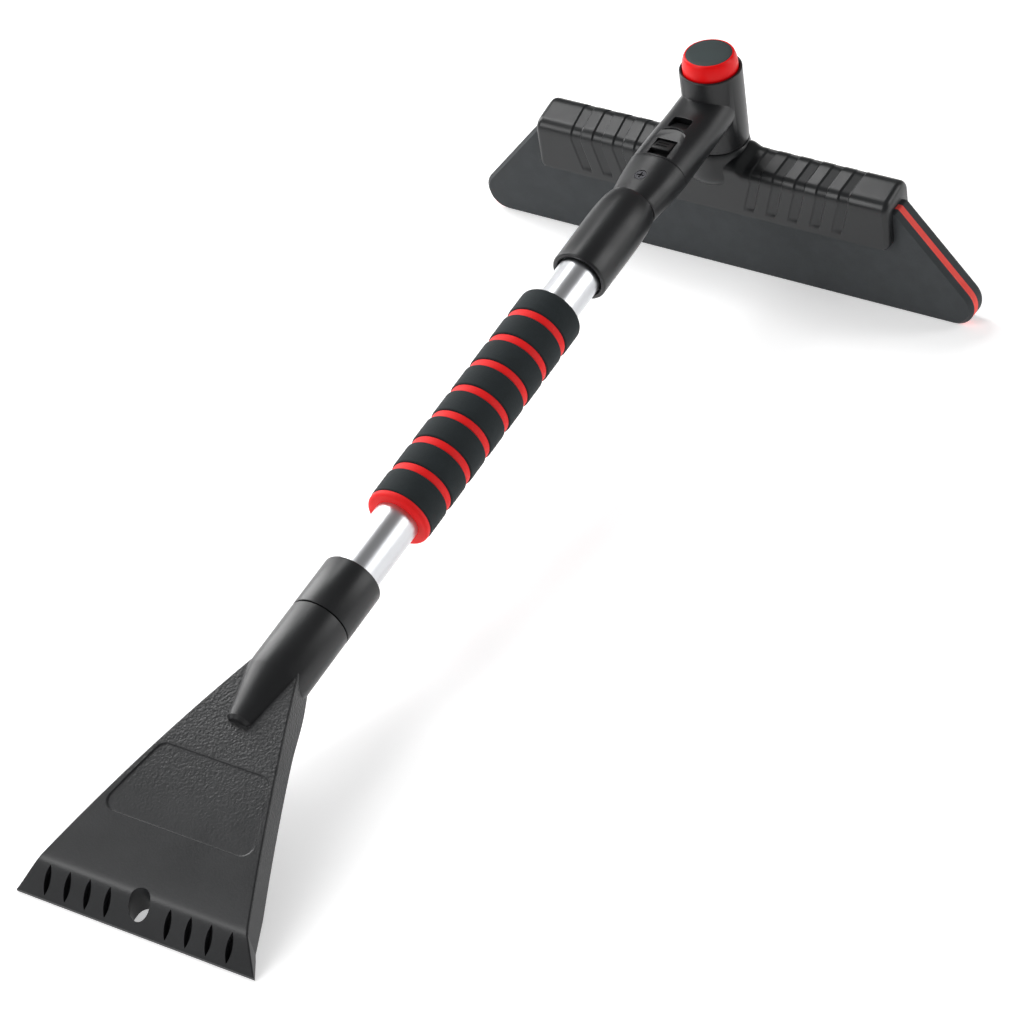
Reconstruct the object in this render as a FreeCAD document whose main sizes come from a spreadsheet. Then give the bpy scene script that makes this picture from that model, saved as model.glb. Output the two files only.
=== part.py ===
"""Winter car tool: an ice scraper on one end of a tube handle and a swivelling foam snow head.

Row frame: +X along the foam head, +Y from the scraper towards the head, +Z up along the hub axis.
Head pieces are drawn in the hub frame (origin on the floor under the hub axis).  Pole pieces are
drawn in the pole frame: local Z runs down the handle from the hub axis, local Y is up, local X is X.
"""
import FreeCAD, Part
import math
import os
import Sketcher

SIZES = {
    # places of the hub axis, the rim of the hub and the handle axis
    "hub_y": 252.82, "rim_z": 115.0, "pole_z": 97.88, "pole_slope": 7.62,
    # hub of the neck and what stands in it
    "hub_r": 15.6, "hub_base_z": 74.2, "journal_r": 9.0, "journal_play": 0.06, "floor_z": 88.0,
    "lock_bore_r": 13.1, "cap_bore_r": 14.2, "cap_bore_z": 100.0, "key_w": 2.0, "key_h": 0.8,
    "play": 0.15, "washer_thick": 1.0, "washer_r": 11.2, "gear_z": 94.0, "gear_thick": 4.5,
    "gear_tip_r": 10.6, "gear_root_r": 9.7, "spacer_r": 8.3, "lock_thick": 4.0, "lock_top_z": 106.0,
    "tooth_count": 24, "tooth_w": 1.1, "gap_w": 1.4, "ring_r": 13.8, "cap_r": 11.5, "cap_top": 8.25,
    "cap_seat_z": 118.0, "press_travel": 4.5, "spring_r": 6.2, "spring_wire_r": 0.6, "spring_turns": 4.5,
    "bolt_r": 2.0, "bolt_head_r": 4.2, "bolt_head_h": 2.4, "wear_thick": 1.0, "wear_r": 14.8,
    # arm of the neck, connector, its core and the latch
    "neck_end": 57.0, "seam": 0.3, "connector_end": 83.0, "core_r": 8.0, "core_start": 27.5,
    "core_play": 0.06, "spigot_r": 9.8, "spigot_start": 88.0, "spigot_end": 112.0,
    "window_w": 10.6, "window_start": 27.3, "window_len": 7.8, "thumb_w": 11.0, "thumb_start": 43.6,
    "thumb_len": 12.2, "pad_v": 8.75, "latch_w": 9.6, "latch_root": 66.0, "slot_w": 10.4,
    "latch_v": 3.0, "latch_thick": 2.6, "hook_v": 8.4, "ramp_v": 9.9, "slot_floor": -1.8,
    "pivot_t": 62.0, "pivot_v": 3.8, "pivot_r": 1.0, "pivot_eye_r": 2.1,
    "set_screw_t": 70.8, "set_screw_r": 1.5, "set_head_r": 2.9, "set_head_h": 1.6,
    # handle: tube, sleeve, grip, collar
    "tube_r": 11.0, "tube_wall": 1.2, "tube_start": 88.0, "tube_end": 392.0,
    "sleeve_start": 83.3, "sleeve_neck_r": 12.2, "sleeve_r": 14.25, "sleeve_end": 134.6,
    "grip_start": 160.0, "grip_end": 301.0, "grip_r": 16.05, "band_r": 15.6, "band_w": 4.4,
    "band_first": 177.0, "band_pitch": 17.4, "band_count": 7, "end_band_w": 3.2,
    "collar_start": 339.0, "collar_end": 367.2, "collar_r": 14.65,
    "plug_start": 366.0, "pin_t": 380.0, "pin_r": 1.6, "pin_head_r": 3.0, "pin_head_h": 1.8,
    # scraper
    "socket_start": 367.5, "socket_end": 405.0, "socket_r": 14.6, "nose_end": 433.0, "nose_r": 6.3,
    "nose_v": 2.4, "root_t": 397.0, "root_w": 11.2, "root_v": 8.5, "root_low_v": -9.0,
    "kink_t": 517.5, "kink_v": -14.2, "kink_w": 55.4, "tip_t": 529.4, "tip_v": -26.3, "tip_w": 63.0,
    "blade_curve_r": 600.0, "skin": 3.0, "side_wall": 2.6, "belly_t": 450.0, "belly_v": -13.9,
    "heel_t": 502.0, "heel_v": -26.3, "sole_t": 520.0, "hollow_end": 508.0,
    "rib_w": 2.2, "slot_pitch": 10.7, "slot_first": 16.0, "slot_count": 4, "slot_len": 14.0,
    "slot_half": 1.6, "slot_deep": 3.2, "slot_mid_t": 523.0, "slot_mid_v": -20.0,
    "hang_w": 10.6, "hang_len": 11.4, "hang_t": 520.2, "panel_deep": 0.6, "panel_back_t": 451.6,
    "panel_front_t": 488.0, "panel_back_w": 28.5, "panel_front_w": 40.5,
    # foam head and its clip
    "foam_front_y": -8.0, "foam_core_y": -5.4, "foam_back_y": -1.4, "foam_rear_y": 4.0,
    "foam_foot_x": 128.4, "foam_corner_r": 11.6, "foam_knee_x": 137.2, "foam_knee_z": 19.1,
    "foam_top_x": 101.9, "foam_top_z": 60.5, "clip_front_y": -14.0, "clip_rear_y": 10.0,
    "clip_split_y": -2.0, "clip_low_z": 39.5, "clip_end_x": 99.8, "clip_front_r": 6.5, "clip_rear_r": 7.0,
    "clip_bend_z": 61.0, "clip_roof_y": -8.96, "clip_roof_z": 67.33, "clip_crest_y": 1.43,
    "clip_crest_z": 69.73, "clip_back_z": 62.91, "clip_back_in": 7.0,
    "boss_r": 15.6, "boss_low_z": 52.0, "boss_top_z": 73.0, "foot_x": 15.0, "foot_low_z": 61.5,
    "foot_high_z": 65.5, "foot_half_y": 7.0, "flute_w": 5.2, "flute_deep": 1.0, "flute_pitch": 12.2,
    "flute_first": 27.0, "flute_count": 5, "flute_low_z": 47.0,
    "clip_screw_r": 1.5, "clip_screw_head_r": 3.0, "clip_screw_z": 50.0, "clip_screw_in": 30.0,
    "clip_screw_out": 82.0, "clip_screw_end_y": -11.0,
}

slope = math.radians(SIZES["pole_slope"])


def floor_v(along):
    """Height over the pole axis at which the floor lies, at a place along the pole."""
    return (along * math.sin(slope) - SIZES["pole_z"]) / math.cos(slope)


SIZES["slot_bow_r"] = (SIZES["slot_len"] ** 2 / 4 + SIZES["slot_half"] ** 2) / (2 * SIZES["slot_half"])
SIZES["sole_v"] = round(floor_v(SIZES["sole_t"]), 4)
SIZES["edge_low_v"] = round(floor_v(SIZES["tip_t"]), 4)
bevel_angle = math.degrees(math.atan2(SIZES["kink_v"] - SIZES["tip_v"],
                                      SIZES["tip_t"] - SIZES["kink_t"]))

doc = FreeCAD.newDocument("ice_scraper")
sheet = doc.addObject("Spreadsheet::Sheet", "Dims")
for row, (alias, size) in enumerate(SIZES.items(), start=1):
    sheet.set(f"A{row}", alias)
    sheet.set(f"B{row}", str(size))
    sheet.setAlias(f"B{row}", alias)
doc.recompute()


# ---- sums of named sizes, as a number and as a sheet expression ------------------------------

def value(text):
    """The number that a sum such as "rim_z - hub_r + 2*play" stands for."""
    total, sign = 0.0, 1.0
    for word in str(text).split():
        if word in ("+", "-"):
            sign = 1.0 if word == "+" else -1.0
            continue
        product = 1.0
        for factor in word.split("*"):
            product *= SIZES[factor] if factor in SIZES else float(factor)
        total += sign * product
        sign = 1.0
    return total


def bound(text):
    """The same sum, written for the sheet."""
    words = []
    for word in str(text).split():
        if word in ("+", "-"):
            words.append(word)
            continue
        factors = [f"Dims.{factor}" if factor in SIZES else factor for factor in word.split("*")]
        words.append(" * ".join(factors))
    return " ".join(words)


def difference(high, low):
    """The sum high minus the sum low."""
    flipped = {"+": "-", "-": "+"}
    words = low.split()
    if words[0] not in flipped:
        words.insert(0, "+")
    return " ".join([high] + [flipped.get(word, word) for word in words])


def bind(item, prop, text):
    item.setExpression(prop, bound(text))


# ---- frames ----------------------------------------------------------------------------------

def place_in_hub_frame(item):
    item.Placement = FreeCAD.Placement(FreeCAD.Vector(0, value("hub_y"), 0), FreeCAD.Rotation())
    bind(item, "Placement.Base.y", "hub_y")


def pole_frame():
    turn = FreeCAD.Rotation(FreeCAD.Vector(1, 0, 0), 90 + value("pole_slope"))
    return FreeCAD.Placement(FreeCAD.Vector(0, value("hub_y"), value("pole_z")), turn)


def place_in_pole_frame(item):
    item.Placement = pole_frame()
    bind(item, "Placement.Base.y", "hub_y")
    bind(item, "Placement.Base.z", "pole_z")
    bind(item, "Placement.Rotation.Angle", "90 + pole_slope")


# ---- sketches and features -------------------------------------------------------------------

def new_body(name, frame=None):
    body = doc.addObject("PartDesign::Body", name)
    if frame is not None:
        frame(body)
    return body


def plane_of(body, role):
    return next(item for item in body.Origin.OriginFeatures if item.Role == role)


def new_sketch(body, name, role, lift="0"):
    sketch = body.newObject("Sketcher::SketchObject", name)
    sketch.AttachmentSupport = [(plane_of(body, role), "")]
    sketch.MapMode = "FlatFace"
    if lift != "0":
        bind(sketch, "AttachmentOffset.Base.z", lift)
    return sketch


def fix_point(sketch, edge, end, x, y):
    """Hold one end of an edge at two named coordinates."""
    for kind, text, axis in (("DistanceX", x, -2), ("DistanceY", y, -1)):
        size = value(text)
        if abs(size) < 1e-9:
            sketch.addConstraint(Sketcher.Constraint("PointOnObject", edge, end, axis))
            continue
        index = sketch.addConstraint(Sketcher.Constraint(kind, -1, 1, edge, end, size))
        bind(sketch, f"Constraints[{index}]", text)


def arc_through(start, end, radius, side):
    """An arc of a given radius between two points; side +1 bulges left of the way from start to end."""
    chord = end - start
    half = chord.Length / 2
    left = FreeCAD.Vector(-chord.y, chord.x, 0).normalize()
    rise = radius - math.sqrt(max(radius * radius - half * half, 0.0))
    middle = (start + end) * 0.5 + left * (rise * side)
    return Part.Arc(start, middle, end)


def add_outline(sketch, corners):
    """A closed outline.  A corner is (x, y) or (x, y, radius, side) when an arc runs to the next."""
    spots = [FreeCAD.Vector(value(corner[0]), value(corner[1]), 0) for corner in corners]
    count = len(corners)
    edges = []
    for index, corner in enumerate(corners):
        start, end = spots[index], spots[(index + 1) % count]
        if len(corner) == 2:
            edge = sketch.addGeometry(Part.LineSegment(start, end), False)
            edges.append((edge, 1, 2))
            continue
        arc = arc_through(start, end, value(corner[2]), corner[3])
        edge = sketch.addGeometry(arc, False)
        first = sketch.getPoint(edge, 1)
        ends = (1, 2) if first.distanceToPoint(start) < 1e-6 else (2, 1)
        edges.append((edge,) + ends)
    for index, corner in enumerate(corners):
        edge, tail, head = edges[index]
        after = edges[(index + 1) % count]
        sketch.addConstraint(Sketcher.Constraint("Coincident", edge, head, after[0], after[1]))
        fix_point(sketch, edge, tail, corner[0], corner[1])
    for index, corner in enumerate(corners):
        if len(corner) > 2:
            edge = edges[index][0]
            radius = Sketcher.Constraint("Radius", edge, value(corner[2]))
            bind(sketch, f"Constraints[{sketch.addConstraint(radius)}]", corner[2])


def add_circle(sketch, x, y, radius):
    centre = FreeCAD.Vector(value(x), value(y), 0)
    edge = sketch.addGeometry(Part.Circle(centre, FreeCAD.Vector(0, 0, 1), value(radius)), False)
    fix_point(sketch, edge, 3, x, y)
    index = sketch.addConstraint(Sketcher.Constraint("Radius", edge, value(radius)))
    bind(sketch, f"Constraints[{index}]", radius)


def pad(body, sketch, length, midplane=False, backwards=False):
    feature = body.newObject("PartDesign::Pad", sketch.Name + "_pad")
    feature.Profile = sketch
    feature.Length = value(length)
    bind(feature, "Length", length)
    feature.Midplane = midplane
    feature.Reversed = backwards
    sketch.Visibility = False
    return feature


def revolve(body, sketch):
    feature = body.newObject("PartDesign::Revolution", sketch.Name + "_turn")
    feature.Profile = sketch
    feature.ReferenceAxis = (sketch, ["V_Axis"])
    feature.Angle = 360
    return feature


def turned(name, frame, profile):
    """A piece turned about local Z, from (radius, height) corners."""
    body = new_body(name, frame)
    sketch = new_sketch(body, name + "_profile", "XZ_Plane")
    add_outline(sketch, profile)
    revolve(body, sketch)
    return body


def tube_piece(name, frame, low, high, outer, inner):
    return turned(name, frame, [(inner, low), (outer, low), (outer, high), (inner, high)])


def rod(name, frame, low, high, radius):
    return turned(name, frame, [("0", low), (radius, low), (radius, high), ("0", high)])


def slab(name, frame, role, corners, thick, lift="0", midplane=False):
    """A flat outline made thick along its plane's normal."""
    body = new_body(name, frame)
    sketch = new_sketch(body, name + "_outline", role, lift)
    add_outline(sketch, corners)
    pad(body, sketch, thick, midplane)
    return body


def block(name, frame, low, high):
    """A box between two corners given as named sums."""
    corners = [(low[0], low[1]), (high[0], low[1]), (high[0], high[1]), (low[0], high[1])]
    body = new_body(name, frame)
    sketch = new_sketch(body, name + "_outline", "XY_Plane", low[2])
    add_outline(sketch, corners)
    pad(body, sketch, difference(high[2], low[2]))
    return body


def join(name, *pieces):
    item = doc.addObject("Part::MultiFuse", name)
    item.Shapes = list(pieces)
    item.Refine = True
    return item


def cut(name, base, *tools):
    item = doc.addObject("Part::Cut", name)
    item.Base = base
    item.Tool = tools[0] if len(tools) == 1 else join(name + "_tools", *tools)
    item.Refine = True
    return item


def common(name, first, second):
    item = doc.addObject("Part::MultiCommon", name)
    item.Shapes = [first, second]
    return item


def group(name, *pieces):
    """Identical loose pieces kept together in one node."""
    item = doc.addObject("Part::Compound", name)
    item.Links = list(pieces)
    return item


def oval_loft(name, sections):
    """A smooth arm through ovals (along the pole, half width, half height, height of centre)."""
    ovals = []
    for index, (along, half_w, half_h, centre) in enumerate(sections):
        oval = doc.addObject("Part::Ellipse", f"{name}_oval{index}")
        oval.MajorRadius = max(half_w, half_h)
        oval.MinorRadius = min(half_w, half_h)
        oval.Placement = FreeCAD.Placement(FreeCAD.Vector(0, centre, along), FreeCAD.Rotation())
        ovals.append(oval)
    loft = doc.addObject("Part::Loft", name)
    loft.Sections = ovals
    loft.Solid = True
    place_in_pole_frame(loft)
    return loft


def finish(label, item):
    item.Label = label
    nodes.append(item)
    return item


nodes = []
hub, pole = place_in_hub_frame, place_in_pole_frame

# ---- handle ----------------------------------------------------------------------------------

tube = tube_piece("tube", pole, "tube_start", "tube_end", "tube_r", "tube_r - tube_wall")
pin_path = new_body("pin_path", pole)
pin_sketch = new_sketch(pin_path, "pin_path_outline", "XZ_Plane")
add_circle(pin_sketch, "0", "pin_t", "pin_r")
pad(pin_path, pin_sketch, "socket_r + 2")
finish("handle_tube", cut("tube_drilled", tube, pin_path))

bands, rings = [], []
for index in range(int(SIZES["band_count"]) + 1):
    low = "grip_start" if index == 0 else f"band_first + {index - 1}*band_pitch + 0.5*band_w"
    high = f"band_first + {index}*band_pitch - 0.5*band_w"
    if index == SIZES["band_count"]:
        high = "grip_end - end_band_w"
    bands.append(tube_piece(f"foam_band_{index}", pole, low, high, "grip_r", "tube_r"))
    low, high = high, f"{high} + band_w"
    if index == SIZES["band_count"]:
        high = "grip_end"
    rings.append(tube_piece(f"ring_band_{index}", pole, low, high, "band_r", "tube_r"))
finish("grip_foam_bands", group("foam_bands", *bands))
finish("grip_red_rings", group("ring_bands", *rings))

finish("sleeve", turned("sleeve_body", pole, [
    ("tube_r - 0.6", "sleeve_start"), ("sleeve_neck_r", "sleeve_start"),
    ("sleeve_neck_r + 1.2", "sleeve_start + 4"), ("sleeve_r", "sleeve_start + 14"),
    ("sleeve_r", "sleeve_end - 0.8"), ("sleeve_r - 0.8", "sleeve_end"),
    ("tube_r", "sleeve_end"), ("tube_r", "tube_start"), ("tube_r - 0.6", "tube_start")]))

finish("lower_collar", turned("collar_body", pole, [
    ("tube_r", "collar_start"), ("collar_r - 0.7", "collar_start"),
    ("collar_r", "collar_start + 0.7"), ("collar_r", "collar_end - 0.4"),
    ("collar_r - 0.4", "collar_end"), ("tube_r", "collar_end")]))

plug = rod("plug_rod", pole, "plug_start", "tube_end", "tube_r - tube_wall")
finish("tube_plug", cut("plug_drilled", plug, pin_path))

screw_shank = new_body("socket_screw_body", pole)
shank_sketch = new_sketch(screw_shank, "socket_shank_outline", "XZ_Plane")
add_circle(shank_sketch, "0", "pin_t", "pin_r")
pad(screw_shank, shank_sketch, "socket_r - pin_head_h")
head_sketch = new_sketch(screw_shank, "socket_head_outline", "XZ_Plane", "socket_r - pin_head_h")
add_circle(head_sketch, "0", "pin_t", "pin_head_r")
pad(screw_shank, head_sketch, "pin_head_h - 0.4")
finish("socket_screw", screw_shank)

# ---- scraper ---------------------------------------------------------------------------------

PLAN = [("- root_w", "root_t"), ("root_w", "root_t"), ("kink_w", "kink_t"), ("tip_w", "tip_t"),
        ("- tip_w", "tip_t"), ("- kink_w", "kink_t")]
PROFILE = [("root_t", "root_v", "blade_curve_r", 1), ("kink_t", "kink_v"), ("tip_t", "tip_v"),
           ("tip_t", "edge_low_v"), ("sole_t", "sole_v"), ("heel_t", "heel_v"),
           ("belly_t", "belly_v"), ("root_t", "root_low_v")]
HOLLOW_PROFILE = [("root_t + 12", "root_v - skin - 2.2", "blade_curve_r", 1),
                  ("hollow_end", "kink_v - skin + 2.0"), ("hollow_end", "- 40"),
                  ("root_t + 12", "- 40")]


def plan_slab(name, corners):
    """A plan outline (across, along) made thick up and down over the blade's whole height."""
    body = new_body(name, pole)
    sketch = new_sketch(body, name + "_outline", "XZ_Plane")
    add_outline(sketch, corners)
    pad(body, sketch, "80", midplane=True)
    return body


def side_slab(name, corners, half_width):
    """A side profile (along, up) made as wide as the blade."""
    flat = [(corner[1], corner[0]) + tuple(corner[2:3]) + tuple(-side for side in corner[3:])
            for corner in corners]
    body = new_body(name, pole)
    sketch = new_sketch(body, name + "_profile", "YZ_Plane")
    add_outline(sketch, flat)
    pad(body, sketch, f"2*{half_width}", midplane=True)
    return body


outer = common("blade_outer", plan_slab("blade_plan", PLAN), side_slab("blade_side", PROFILE, "tip_w"))
INNER_PLAN = [("- root_w + side_wall", "root_t + 12"), ("root_w - side_wall", "root_t + 12"),
              ("kink_w - 2*side_wall", "hollow_end"), ("- kink_w + 2*side_wall", "hollow_end")]
hollow_all = common("blade_hollow_all", plan_slab("hollow_plan", INNER_PLAN),
                    side_slab("hollow_side", HOLLOW_PROFILE, "tip_w"))
rib_boxes = [block(f"rib_{index}", pole, (f"{place} - 0.5*rib_w", "- 24", "root_t"),
                   (f"{place} + 0.5*rib_w", "root_v", "hollow_end"))
             for index, place in enumerate(("- 24", "0", "24"))]
hollow = cut("blade_hollow", hollow_all, *rib_boxes)
shell = cut("blade_shell", outer, hollow)

socket = rod("socket_rod", pole, "socket_start", "socket_end", "socket_r")
nose = doc.addObject("Part::Loft", "socket_nose")
nose_rings = []
for name, along, up, radius in (("nose_back", "socket_end", "0", "socket_r"),
                                ("nose_front", "nose_end", "nose_v", "nose_r")):
    ring = doc.addObject("Part::Circle", name)
    bind(ring, "Radius", radius)
    ring.Placement = FreeCAD.Placement(FreeCAD.Vector(0, value(up), value(along)), FreeCAD.Rotation())
    bind(ring, "Placement.Base.z", along)
    nose_rings.append(ring)
nose.Sections = nose_rings
nose.Solid = True
place_in_pole_frame(nose)
bore = rod("socket_bore", pole, "socket_start", "tube_end", "tube_r")
pin_recess = new_body("pin_recess", pole)
recess_sketch = new_sketch(pin_recess, "pin_recess_outline", "XZ_Plane", "socket_r - pin_head_h")
add_circle(recess_sketch, "0", "pin_t", "pin_head_r + play")
pad(pin_recess, recess_sketch, "pin_head_h + 1")

grooves = []
for side in (-1, 1):
    for index in range(int(SIZES["slot_count"])):
        across = side * (SIZES["slot_first"] + index * SIZES["slot_pitch"])
        groove = new_body(f"tooth_groove_{index}_{'left' if side < 0 else 'right'}")
        sketch = new_sketch(groove, groove.Name + "_outline", "XZ_Plane", "- slot_deep")
        add_outline(sketch, [("0", "- 0.5*slot_len", "slot_bow_r", 1),
                             ("0", "0.5*slot_len", "slot_bow_r", 1)])
        pad(groove, sketch, "2*slot_deep")
        spot = FreeCAD.Vector(across, value("slot_mid_v"), value("slot_mid_t"))
        lie = FreeCAD.Rotation(FreeCAD.Vector(1, 0, 0), bevel_angle)
        groove.Placement = pole_frame().multiply(FreeCAD.Placement(spot, lie))
        grooves.append(groove)

hang_hole = new_body("hang_hole_prism", pole)
hang_sketch = new_sketch(hang_hole, "hang_hole_outline", "XZ_Plane")
hang_low, hang_high = "hang_t - 0.5*hang_len + 0.5*hang_w", "hang_t + 0.5*hang_len - 0.5*hang_w"
add_outline(hang_sketch, [("- 0.5*hang_w", hang_low),
                          ("- 0.5*hang_w", hang_high, "0.5*hang_w + 0.001", 1),
                          ("0.5*hang_w", hang_high),
                          ("0.5*hang_w", hang_low, "0.5*hang_w + 0.001", 1)])
pad(hang_hole, hang_sketch, "100", midplane=True)

panel = common("panel_recess", plan_slab("panel_plan", [
    ("- panel_back_w", "panel_back_t"), ("panel_back_w", "panel_back_t"),
    ("panel_front_w", "panel_front_t"), ("- panel_front_w", "panel_front_t")]),
    side_slab("panel_side", [
        ("root_t", "root_v - panel_deep", "blade_curve_r", 1), ("kink_t", "kink_v - panel_deep"),
        ("kink_t", "30"), ("root_t", "30")], "panel_front_w"))
finish("scraper_blade", cut("scraper_cut", join("scraper_solid", shell, socket, nose),
                            bore, pin_path, pin_recess, hang_hole, panel, *grooves))

# ---- connector between neck and sleeve, with its core, screw and latch ------------------------

NECK_OVALS = [(4.0, 14.4, 10.6, -1.8), (16.0, 14.9, 10.6, -2.2), (30.0, 15.1, 11.0, -1.9),
              (45.0, 15.4, 11.4, -1.3), (57.0, 15.4, 11.5, -1.2)]
CONNECTOR_OVALS = [(57.3, 15.4, 11.5, -1.2), (68.0, 14.6, 11.0, -1.1), (76.0, 13.4, 10.4, -1.0),
                   (83.0, 12.3, 10.0, -0.9)]


def upright_pin(name, frame, radius, low, high, along):
    """A round pin standing across the pole, from one height over its axis to another."""
    body = new_body(name, frame)
    sketch = new_sketch(body, name + "_outline", "XZ_Plane", difference("0", low))
    add_circle(sketch, "0", along, radius)
    pad(body, sketch, difference(high, low), backwards=True)
    return body


def cross_pin(name, frame, radius, length):
    """A round pin along X through the latch's pivot."""
    body = new_body(name, frame)
    sketch = new_sketch(body, name + "_outline", "YZ_Plane")
    add_circle(sketch, "pivot_v", "pivot_t", radius)
    pad(body, sketch, length, midplane=True)
    return body


core_way = rod("core_way", pole, "neck_end", "connector_end + 1", "core_r")
screw_head_way = upright_pin("screw_head_way", pole, "set_head_r + play", "core_r - 1", "20",
                             "set_screw_t")
finish("connector", cut("connector_cut", oval_loft("connector_solid", CONNECTOR_OVALS),
                        core_way, screw_head_way))

core_solid = turned("core_solid", pole, [
    ("0", "core_start"), ("core_r - 0.8", "core_start"), ("core_r", "core_start + 0.8"),
    ("core_r", "spigot_start"), ("spigot_r", "spigot_start"), ("spigot_r", "spigot_end - 0.6"),
    ("spigot_r - 0.6", "spigot_end"), ("0", "spigot_end")])
latch_slot = block("latch_slot", pole, ("- 0.5*slot_w", "slot_floor", "core_start - 1"),
                   ("0.5*slot_w", "20", "latch_root"))
finish("connector_core", cut(
    "core_cut", core_solid, latch_slot,
    upright_pin("screw_shank_way", pole, "set_screw_r", "- 3", "20", "set_screw_t"),
    cross_pin("pivot_way", pole, "pivot_r", "2*core_r + 4")))

screw_body = join("connector_screw_solid",
                  upright_pin("screw_shank", pole, "set_screw_r", "- 3", "core_r", "set_screw_t"),
                  upright_pin("screw_head", pole, "set_head_r", "core_r",
                              "core_r + set_head_h", "set_screw_t"))
cross_slots = [
    block("screw_slot_across", pole, ("- 1.9", "core_r + 0.9", "set_screw_t - 0.35"),
          ("1.9", "core_r + 4", "set_screw_t + 0.35")),
    block("screw_slot_along", pole, ("- 0.35", "core_r + 0.9", "set_screw_t - 1.9"),
          ("0.35", "core_r + 4", "set_screw_t + 1.9"))]
finish("connector_screw", cut("connector_screw_cut", screw_body, *cross_slots))

latch = new_body("latch_body", pole)
latch_sketch = new_sketch(latch, "latch_profile", "YZ_Plane")
add_outline(latch_sketch, [
    ("latch_v", "core_start + 0.6"), ("hook_v - 1.4", "core_start + 0.6"),
    ("hook_v", "core_start + 3.4"), ("hook_v", "window_start + window_len - 0.3"),
    ("latch_v + latch_thick", "window_start + window_len - 0.3"),
    ("latch_v + latch_thick", "thumb_start + 0.6"), ("ramp_v", "thumb_start + 7.6"),
    ("ramp_v - 1.2", "thumb_start + 8.4"), ("latch_v + latch_thick", "thumb_start + 8.4"),
    ("latch_v + latch_thick", "latch_root - 0.5"), ("latch_v", "latch_root - 0.5")])
pad(latch, latch_sketch, "latch_w", midplane=True)
latch_solid = join("latch_solid", latch, cross_pin("latch_eye", pole, "pivot_eye_r", "latch_w"))
finish("thumb_latch", cut("latch_cut", latch_solid,
                          cross_pin("latch_pivot_way", pole, "pivot_r + 0.05", "20")))
finish("latch_pin", cross_pin("latch_pin_body", pole, "pivot_r", "2*core_r - 3"))

# ---- neck: arm and hub -----------------------------------------------------------------------

hub_solid = turned("hub_solid", hub, [
    ("journal_r + journal_play", "hub_base_z"), ("hub_r - 0.6", "hub_base_z"),
    ("hub_r", "hub_base_z + 0.6"), ("hub_r", "rim_z - 0.6"), ("hub_r - 0.5", "rim_z"),
    ("cap_bore_r", "rim_z"), ("cap_bore_r", "cap_bore_z"), ("lock_bore_r", "cap_bore_z"),
    ("lock_bore_r", "floor_z"), ("journal_r + journal_play", "floor_z")])
arm = cut("arm_outside_hub", oval_loft("arm_solid", NECK_OVALS),
          rod("hub_space", hub, "hub_base_z - 20", "rim_z", "hub_r - 1"))
window = block("window", pole, ("- 0.5*window_w", "core_r - 4", "window_start"),
               ("0.5*window_w", "20", "window_start + window_len"))
thumb_way = block("thumb_way", pole, ("- 0.5*thumb_w", "core_r - 4", "thumb_start"),
                  ("0.5*thumb_w", "20", "thumb_start + thumb_len"))
pad_recess = new_body("pad_recess", pole)
pad_sketch = new_sketch(pad_recess, "pad_recess_outline", "XZ_Plane", "- pad_v")
add_outline(pad_sketch, [("- 9.4", "neck_end + 1"), ("- 9.4", "thumb_start + 4", "14", 1),
                         ("9.4", "thumb_start + 4"), ("9.4", "neck_end + 1")])
pad(pad_recess, pad_sketch, "10", backwards=True)


def around_hub(item, index, count):
    """Turn a hub piece to its own place in a ring of equal places."""
    turn = FreeCAD.Rotation(FreeCAD.Vector(0, 0, 1), 360.0 * index / count)
    item.Placement = FreeCAD.Placement(FreeCAD.Vector(0, value("hub_y"), 0), turn)
    return item


KEYS = 3
keyways = [around_hub(block(f"keyway_{index}", None,
                            ("lock_bore_r - 1", "- 0.5*key_w - play", "floor_z"),
                            ("lock_bore_r + key_h + play", "0.5*key_w + play", "cap_bore_z")),
                      index, KEYS) for index in range(KEYS)]
finish("neck_housing", cut(
    "neck_cut", join("neck_solid", hub_solid, arm),
    rod("neck_core_way", pole, "core_start - 1", "neck_end + 1", "core_r + core_play"),
    window, thumb_way, pad_recess, *keyways))

# ---- swivel: post, washer, toothed gear and bolt ----------------------------------------------


def star(name, low, high, tip, width):
    """Spokes from the hub axis, one for each tooth of the gear."""
    body = new_body(name, hub)
    sketch = new_sketch(body, name + "_outline", "XY_Plane", low)
    add_outline(sketch, [("0", difference("0", f"0.5*{width}")), (tip, difference("0", f"0.5*{width}")),
                         (tip, f"0.5*{width}"), ("0", f"0.5*{width}")])
    spoke = pad(body, sketch, difference(high, low))
    ring = body.newObject("PartDesign::PolarPattern", name + "_ring")
    ring.Originals = [spoke]
    ring.Axis = (sketch, ["N_Axis"])
    ring.Angle = 360
    ring.Occurrences = int(value("tooth_count"))
    body.Tip = ring
    return body


gear_low, gear_high = "gear_z", "gear_z + gear_thick"
bolt_way = rod("bolt_way", hub, "hub_base_z", "rim_z", "bolt_r")
post = join("post_solid", rod("journal", hub, "foot_high_z", "floor_z + 0.1", "journal_r"),
            block("post_foot", hub, ("- foot_x", "- foot_half_y", "foot_low_z"),
                  ("foot_x", "foot_half_y", "foot_high_z")))
finish("swivel_post", cut("post_cut", post, bolt_way))
finish("swivel_washer", tube_piece("washer_body", hub, "floor_z + 0.1",
                                   "floor_z + 0.1 + washer_thick", "washer_r", "bolt_r"))
gear_disc = join("gear_disc", rod("gear_root", hub, gear_low, gear_high, "gear_root_r"),
                 star("gear_teeth", gear_low, gear_high, "gear_tip_r", "tooth_w"),
                 rod("gear_spacer", hub, "floor_z + 0.1 + washer_thick", gear_low, "spacer_r"))
finish("lock_gear", cut("gear_cut", gear_disc, bolt_way))
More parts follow.
